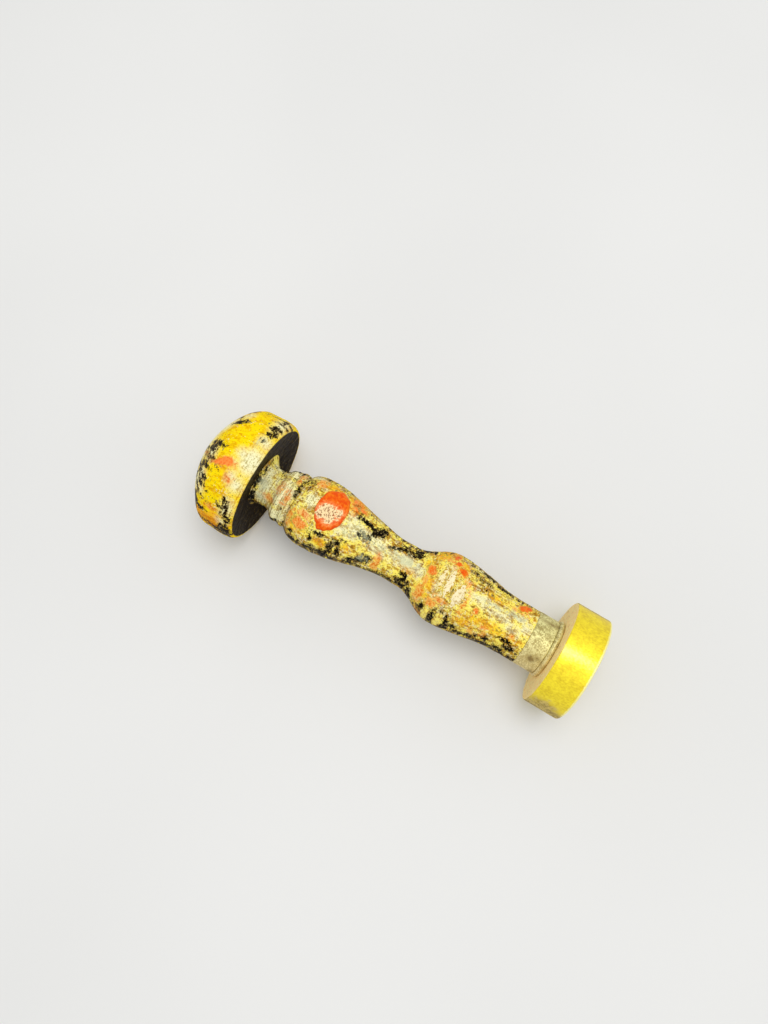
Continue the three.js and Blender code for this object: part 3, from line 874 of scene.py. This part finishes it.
def hiddenMarks(generator, count, along, halfLength, halfTurn):
    ranges = (along, wood["farSide"], halfLength, halfTurn, wood["tilts"])
    return [[generator.uniform(*ends) for ends in ranges] for _ in range(count)]


def addMarks(piece, form, names):
    distance, turn, radius = spots(piece)
    for name in names:
        remember(piece.data, name, markField(form[name], distance, turn, radius))


def addWear(piece, form):  # listed marks, and random ones on the far side
    generator = np.random.default_rng(form["seed"])
    marks = dict(form)
    for name, hidden in form["hidden"].items():
        marks[name] = form[name] + hiddenMarks(generator, *hidden)
    addMarks(piece, marks, ("chip", "bloom", "smear", "wax", "amber", "filmAndSheen"))
    distance = spots(piece)[0]
    remember(piece.data, "lines", np.interp(distance, *zip(*form["lines"])))


def addHandle():
    h = handle
    piece = turned("turned_handle", handleOutline(), h["sides"], handlePush, handleWiden)
    addWear(piece, h)
    remember(piece.data, "left", lacquerLeft(piece, h))
    dress(piece, handleWood, "wood_handle", "handle")


handleLook = {
    "softBloomAndSheen": 0.0,
    "lacquer": (15, 10, 4),
    "ragged": 1.0,
    "low": 0.435,
    "high": 0.53,
    "speckle": 0.10,
    "bright": (255, 238, 104),
    "deep": (188, 142, 44),
    "amber": (255, 214, 44),
    "amberDeep": (232, 158, 34),
}
handleWood = finish("wornLacquerHandle", wornWood(handleLook))
addHandle()
print("handle made")

knob = {
    "step": 0.28,
    "sides": 300,
    "wobble": (0.16, 1.7, 0.10),
    "dents": (0.8, 6.1, 0.04),
    "underWear": (0.7, 8.8, 0.08),
    "neckRoom": 7.2,  # inside this radius are the neck and its socket
    "crownStart": 96,
    "underTop": 87,  # the hollow of the underside ends below this distance
    "underRadius": 14.2,
    "lipStart": 14.25,  # radius where the underside ends and the lip starts
    "lipTop": 86,
    "lipLeft": -0.15,  # lacquer kept there
    "underLeft": 2,
    "rubbing": {"scuffs": 0.42, "bare": -0.34},
    "socket": (3.55, 94.3),
    "flare": (6.6, 86.6),
    "rim": (14.9, 85.45),
    "lip": 0.45,
    "widest": (15.65, 88.85),
    "shoulder": (15.4, 92.75),
    "crownEdge": (12.6, 96.95),
    "crownTop": 101.45,
    "seed": 23,
    "hidden": {
        "chip": (40, (86.4, 99), (0.3, 1.2), (1, 5)),
        "bloom": (8, (86.4, 97), (0.8, 2), (4, 10)),
        "smear": (5, (88, 97), (0.6, 1.6), (2, 6)),
    },
    "lines": [(86, 0.3), (88.4, 0.25), (89, 0.05)],
    # more black lacquer towards the low and far sides: partly painted shade
    "around": [
        (-180, 0.22), (-98, 0.32), (-84, 0.1), (-68, 0.03), (-55, -0.05), (40, -0.1), (60, 0), (90, 0.18),
        (180, 0.22),
    ],
    "chip": [
        (87.4, 43, 0.9, 2.2), (87.4, 39, 0.7, 1.8), (87.5, 31, 0.6, 2.2), (86.7, 34, 0.5, 4),
        (95.7, 31, 0.9, 3, 15), (94.2, 33, 0.6, 1), (95.9, 3, 0.7, 3.4), (97.8, 4, 0.3, 3),
        (95.2, 60, 0.6, 3), (96.9, -5, 0.6, 1.2), (95.9, -13, 0.8, 1), (96.1, -22, 0.8, 2.2),
        (97.8, -24, 0.3, 4), (95.3, -32, 0.6, 2.6), (95.5, -39, 0.5, 1.4), (89.2, -76, 1.2, 0.7, 8),
        (91.2, -79, 1.2, 0.6, 8), (93.2, -60, 0.5, 1.4), (88.1, -38, 0.5, 1.6, 20),
        (88.4, -45, 0.6, 1.6, -20), (87.1, -55, 0.5, 1.2, 20), (86.6, -60, 0.5, 1.8),
        (97.4, -13, 0.9, 0.8, 14), (97.2, -36, 0.8, 0.7, 16), (97.9, -46, 0.8, 0.8, 18),
        (97.6, -2, 0.7, 0.7, -14), (96.2, -46, 0.7, 0.6, 16), (98.3, -30, 0.6, 0.8, 16),
        (95.9, -61, 1.3, 6.5, 20), (97.6, -70, 1.1, 6, 20), (93.9, -61, 0.5, 2.5), (97.9, -80, 1.2, 6),
        (87.2, -74, 1, 4), (87, -84, 1.4, 6), (88.4, -84, 1.2, 2.4), (96.6, 44, 0.5, 2), (96.9, 58, 0.7, 4),
        (97.6, -66, 0.8, 5), (86.7, 52, 0.8, 1), (86.9, 62, 1.4, 0.9), (98.4, -12, 0.3, 3),
    ],
    # along the low side partly painted shade
    "scuffs": [
        (87.5, -50, 1.4, 16), (87.2, 60, 0.6, 12), (87.2, -72, 2, 15), (96.7, -10, 1.3, 24),
        (96, -54, 0.8, 12), (95.8, 40, 0.8, 8), (97.2, -70, 2.6, 12), (87.9, -40, 0.8, 6),
        (95.4, 57, 1.6, 10), (96.2, -62, 1.4, 9), (88.2, -78, 1.4, 6), (87.9, 23, 0.9, 5),
        (97.9, -28, 0.9, 20),
    ],
    "bare": [(87.7, -62, 0.6, 3), (87.2, 0, 1.4, 16), (90.8, -58, 1.6, 10)],
    # pale, waxy places, and painted highlights on the top of the knob
    "bloom": [
        (87, 1, 2.7, 18), (89.4, 3, 1.4, 8), (87, 22, 1.5, 8), (87.4, -22, 1.6, 10), (89, -18, 1, 8),
        (87.2, 50, 1.4, 22), (87.6, -62, 1, 5), (87.4, -46, 1.4, 14), (88, -62, 0.8, 5), (98.4, 33, 1.8, 18),
        (97.7, -44, 1.8, 20), (100, 0, 1.6, 90), (94.9, 44, 0.9, 8), (95.2, -43, 0.9, 5), (90.2, -6, 0.8, 3),
        (96.8, -8, 1.5, 16), (96.8, -32, 1.6, 12), (97.4, 36, 1.4, 12),
    ],
    "amber": [
        (91.6, -72, 3.4, 16), (91.2, -53, 1.6, 6), (89.6, -62, 1.4, 10), (94.2, -68, 1.4, 8),
        (92.6, -14, 1.2, 4), (89.8, -20, 1.2, 8),
    ],
    "smear": [
        (91, -9, 2, 5), (89.4, -21, 1, 4), (91.4, -53, 0.9, 3), (98.6, -12, 1.2, 4), (94.6, -15, 1.2, 2),
    ],
    "filmAndSheen": [(88.0, 22, 0.5, 5), (88.4, 17, 0.3, 3)],
    "wax": [
        (91.6, -8, 1.4, 6.2), (92.7, -10.5, 1.5, 4.4, -20), (93.8, -13.2, 1.3, 2, -25),
    ],
}


def knobOutline():
    k = knob
    socketRadius, socketEnd = k["socket"]
    rimRadius, rim = k["rim"]
    lip = k["lip"]
    widestRadius, widest = k["widest"]
    shoulder, top, crownTop = Vector(k["shoulder"]), Vector(k["crownEdge"]), k["crownTop"]
    height = crownTop - top.y
    sphere = (top.x ** 2 + height ** 2) / (2 * height)
    spread = math.asin(top.x / sphere)
    flank = Vector((shoulder.x - widestRadius, shoulder.y - widest))
    slope = Vector((math.cos(spread), -math.sin(spread)))
    gap = top - shoulder
    reach = (gap.x * slope.y - gap.y * slope.x) / (flank.x * slope.y - flank.y * slope.x)
    corner = shoulder + flank * reach
    outline = [(0, socketEnd), (socketRadius, socketEnd), (socketRadius, k["flare"][1])]
    outline += [k["flare"]]
    outline += arc(rimRadius - lip, rim + lip, lip, lip, -1, 0, 6)
    outline += arc(rimRadius, widest, widestRadius - rimRadius, widest - rim - lip, -1, 0, 12)
    for part in np.linspace(0, 1, 26):
        point = shoulder * (1 - part) ** 2 + corner * (2 * part * (1 - part)) + top * part ** 2
        outline.append(tuple(point))
    for part in np.linspace(0, 1, 56)[1:]:
        lean = spread * (1 - part)
        outline.append((sphere * math.sin(lean), crownTop - sphere * (1 - math.cos(lean))))
    return dense(outline, k["step"])


def knobPush(radius, distance, turn):
    points = placed(radius, distance, turn)
    flatDistance, flatRadius = distance.ravel(), radius.ravel()
    outer = (flatRadius > knob["neckRoom"]) | (flatDistance > knob["crownStart"])
    shift = np.zeros(len(points))
    p = points[outer]
    shift[outer] = worn(p, knob["wobble"]) + worn(p, knob["dents"])
    under = (flatDistance < knob["underTop"]) & (flatRadius > knob["neckRoom"])
    under &= flatRadius < knob["underRadius"]
    shift[under] += worn(points[under], knob["underWear"])
    return shift.reshape(radius.shape)


def addKnob():
    k = knob
    piece = turned("mushroom_knob", knobOutline(), k["sides"], knobPush)
    addWear(piece, k)
    distance, _, radius = spots(piece)
    lip = (distance < k["lipTop"]) & (radius >= k["lipStart"])
    under = (distance < k["underTop"]) & (radius < k["lipStart"])  # it keeps all of its lacquer
    left = np.where(lip, k["lipLeft"], lacquerLeft(piece, k))
    remember(piece.data, "left", np.where(under, k["underLeft"], left))
    dress(piece, knobWood, "wood_knob", "knob")


knobLook = {
    "softBloomAndSheen": 0.7,
    "lacquer": (30, 20, 7),
    "ragged": 0.85,
    "low": 0.38,
    "high": 0.54,
    "speckle": 0.23,
    "bright": (255, 224, 14),
    "deep": (228, 168, 6),
    "amber": (255, 186, 44),
    "amberDeep": (212, 122, 14),
}
knobWood = finish("wornLacquerKnob", wornWood(knobLook))
addKnob()
print("knob made")

# Drops of sealing wax that stuck to the handle
wax = {
    "rim": (246, 118, 16),
    "red": (234, 78, 6),
    "thin": (240, 122, 26),
    "thinPale": (250, 186, 92),
    "salmon": (252, 164, 104),
    # also the painted shade along the big drop's edge
    "scorched": (176, 74, 24),
    # also the painted highlight on the top of the big drop
    "worn": (255, 234, 180),
    "grey": (120, 82, 50),
    "cream": (250, 236, 190),
    "creamDark": (204, 176, 112),
    "yellowed": (250, 232, 110),
    "fray": 0.22,  # mm of ragged edge that lets the wood show
    "rings": 22,
    "sides": 72,
    "sunk": 0.5,  # mm that a drop reaches into the wood
    "waves": (1.2, 0.34, 3.4, 0.24),  # broad and fine waves of the edge, scale and depth
    "lumps": (1.1, 0.10),
    "calm": 1.3,  # half length above which the edge is calmer
    "round": (5, 0.6),  # powers that round the drop off towards its edge
    "dip": (0.168, 0.55),  # how much lower the middle is, and how wide that is
    "edgeDepth": 0.06,  # mm that the edge lies in the wood
    "rubbedAndHighlight": [  # worn pale, with a painted highlight on the top of the big drop
        (67.6, 0, 2.4, 13), (69.2, -4, 1.2, 8), (66.2, 6, 1.6, 8), (71.4, -21, 1.2, 6),
    ],
    "drops": [  # distance, turn, half length, half turn, tilt, height, thin, pale
        ("belly", 67.3, 10, 3.6, 39, 4, 0.5, 0),
        ("belly_low", 72.3, -35, 2.4, 12.5, 10, 0.22, 0.75),
        ("bulb", 40.7, 9, 1.9, 10.5, 50, 0.24, 0.5),
        ("bulb_far", 37.2, 52, 1, 12, 10, 0.22, 0.2),
        ("bulb_edge", 34.4, 29, 1.6, 7, 25, 0.2, 0.1),
        ("bulb_tip", 36.2, 38, 1, 7, 30, 0.18, 0.2),
        ("shaft", 18.2, 43, 2.4, 10.5, -38, 0.28, 0.25),
        ("spot", 27.9, -14.5, 1.15, 8, 20, 0.12, 0.45),
        ("ridge_foot", 32.9, -7, 1.25, 20, 6, 0.6, 0, 1),
        ("ridge_middle", 35.9, 1, 0.9, 25, -4, 0.6, 0, 1),
        ("ridge_top", 37.9, 3, 0.75, 21, -4, 0.44, 0, 0.9),
        ("drip_foot", 34.3, -62, 0.95, 18, 0, 0.34, 0, 0.75),
        ("drip_top", 37.6, -68, 0.75, 17, 0, 0.32, 0, 0.7),
        ("under", 51, 172, 1.8, 9, 35, 0.24, 0.45),
        ("rear", 69, 140, 2.7, 9.5, -35, 0.26, 0.35),
    ],
}


def surfaceRadius(distance):
    outline = np.array([p for p in handleOutline() if p[0] > handleForm["thinnest"] and p[1] > 15.2])
    return np.interp(distance, outline[:, 1], outline[:, 0])


def waxDrop(label, place, middle, halfLength, halfTurn, tilt, height, thin, pale=0, seed=0):
    rings, around = wax["rings"], wax["sides"]
    halfWidth = math.radians(halfTurn) * float(surfaceRadius(place))
    lean = math.radians(tilt)
    calm = min(1, wax["calm"] / halfLength)  # large drops have smoother edges
    broad, broadDepth, fine, fineDepth = wax["waves"]
    points = []
    for i in range(rings + 1):
        part = i / rings
        for j in range(around):
            angle = 2 * math.pi * j / around
            edge = Vector((math.cos(angle), math.sin(angle), 0))
            wavy = 1 + broadDepth * calm * noise.noise(edge * broad + Vector((seed, 0, 0)))
            wavy += fineDepth * calm * noise.noise(edge * fine + Vector((0, seed, 0)))
            p = halfLength * part * wavy * math.cos(angle)
            q = halfWidth * part * wavy * math.sin(angle)
            ahead = p * math.cos(lean) - q * math.sin(lean)
            aside = p * math.sin(lean) + q * math.cos(lean)
            swell = (1 - part ** wax["round"][0]) ** wax["round"][1] if part < 1 else 0
            dip = wax["dip"][0] * math.exp(-(part / wax["dip"][1]) ** 2)
            points.append((place + ahead, aside, height * (swell - dip) - wax["edgeDepth"], part))
    data = np.array(points)
    distance = data[:, 0]
    base = surfaceRadius(distance)
    turn = math.radians(middle) + data[:, 1] / float(surfaceRadius(place))
    seat = placed(base, distance, turn)
    own = handlePush(base[:, None], distance[:, None], turn[:, None])[:, 0]
    lumps = worn(seat, (wax["lumps"][0], seed, wax["lumps"][1])) * (1 - data[:, 3] ** 4)
    radius = base + own + data[:, 2] + lumps
    top = placed(radius, distance, turn)
    bottom = placed(base - wax["sunk"], distance, turn)
    faces = []
    count = len(top)
    for i in range(rings):
        a, b = i * around, (i + 1) * around
        for j in range(around):
            k = (j + 1) % around
            faces.append((a + j, b + j, b + k, a + k))
            faces.append((count + a + j, count + a + k, count + b + k, count + b + j))
    a = rings * around
    for j in range(around):
        k = (j + 1) % around
        faces.append((a + j, count + a + j, count + a + k, a + k))
    inside = (1 - data[:, 3]) * min(halfLength, halfWidth) - wax["fray"] + (halfLength > 3) * 2
    known = {"spot": np.vstack([seat, seat]), "inside": np.tile(inside, 2),
             "thin": np.full(2 * count, thin), "pale": np.full(2 * count, pale)}
    return buildPiece("wax_" + label, np.vstack([top, bottom]), faces, known)


def waxFinish(wire):
    w = wax
    spot = wire.kept("spot", "Vector")
    cloud = spot.cloud(0.9, 4, 0.65)
    speck = spot.cloud(1.5, 4, 0.75)
    fine = spot.cloud(2.4, 2, 0.7)
    even, mixed = fine * 0.5 + speck * 0.5, fine * 0.6 + speck * 0.4
    shade = (cloud * 0.6 + speck * 0.4).ramp(0.43, 0.57).over(w["red"], w["rim"])
    thin = wire.kept("thin")
    scorched = mixed.ramp(0.51, 0.58) * thin.ramp(0.0, 0.2)
    shade = (scorched * 0.6).over(shade, w["scorched"])
    thinned = (thin + (speck - 0.5) * 1.2 + (fine - 0.5) * 0.8).ramp(0.1, 0.9)
    thinShade = even.ramp(0.44, 0.58).over(w["thin"], w["thinPale"])
    shade = thinned.over(shade, thinShade)
    # worn pale patch on the big drop, partly a painted highlight, with a salmon halo
    rubbedAndHighlight = wire.kept("rubbedAndHighlight") + (cloud - 0.5) * 3.0 + (speck - 0.5) * 2.6 + (fine - 0.5)
    shade = (rubbedAndHighlight.ramp(-1.3, 0.4) * 0.6).over(shade, w["salmon"])
    rubbedAndHighlight = rubbedAndHighlight.ramp(-0.15, 0.25)
    rubbedAndHighlightShade = mixed.ramp(0.43, 0.50).over(w["grey"], w["worn"])
    shade = (rubbedAndHighlight * 0.85).over(shade, rubbedAndHighlightShade)
    inside = wire.kept("inside")
    lip = inside.ramp(1.6, 1.7) * (1 - inside.ramp(1.8, 2.1))  # painted shade along the edge of the big drop
    shade = (lip * 0.5).over(shade, w["scorched"])
    aged = wire.kept("pale")
    old = (aged + (speck - 0.5) * 1.2 + (fine - 0.5) * 0.8).ramp(0.35, 0.65)
    fresh = aged.ramp(0.75, 0.95).over(w["yellowed"], w["cream"])
    oldShade = even.ramp(0.38, 0.53).over(w["creamDark"], fresh)
    shade = old.over(shade, oldShade)
    covered = inside - thin * 0.4 + (speck - 0.5) * 2.6 + (fine - 0.5) * 1.4
    covered = covered.ramp(-0.06, 0.1)
    bare = even.ramp(0.43, 0.55).over(handleLook["deep"], handleLook["bright"])
    relief = raised(wire, speck + fine * 0.4, 0.10, 0.6)
    return {"Base Color": covered.over(bare, shade),
            "Roughness": 0.34 + rubbedAndHighlight * 0.2 + fine * 0.1,
            "Specular IOR Level": 0.08,
            "Normal": relief}


def addWax():
    material = finish("sealingWax", waxFinish)
    for number, (label, *size) in enumerate(wax["drops"]):
        piece = waxDrop(label, *size, seed=3.7 * (number + 1))
        addMarks(piece, wax, ["rubbedAndHighlight"])
        dress(piece, material, "sealing_wax")


addWax()
print("wax drops made")
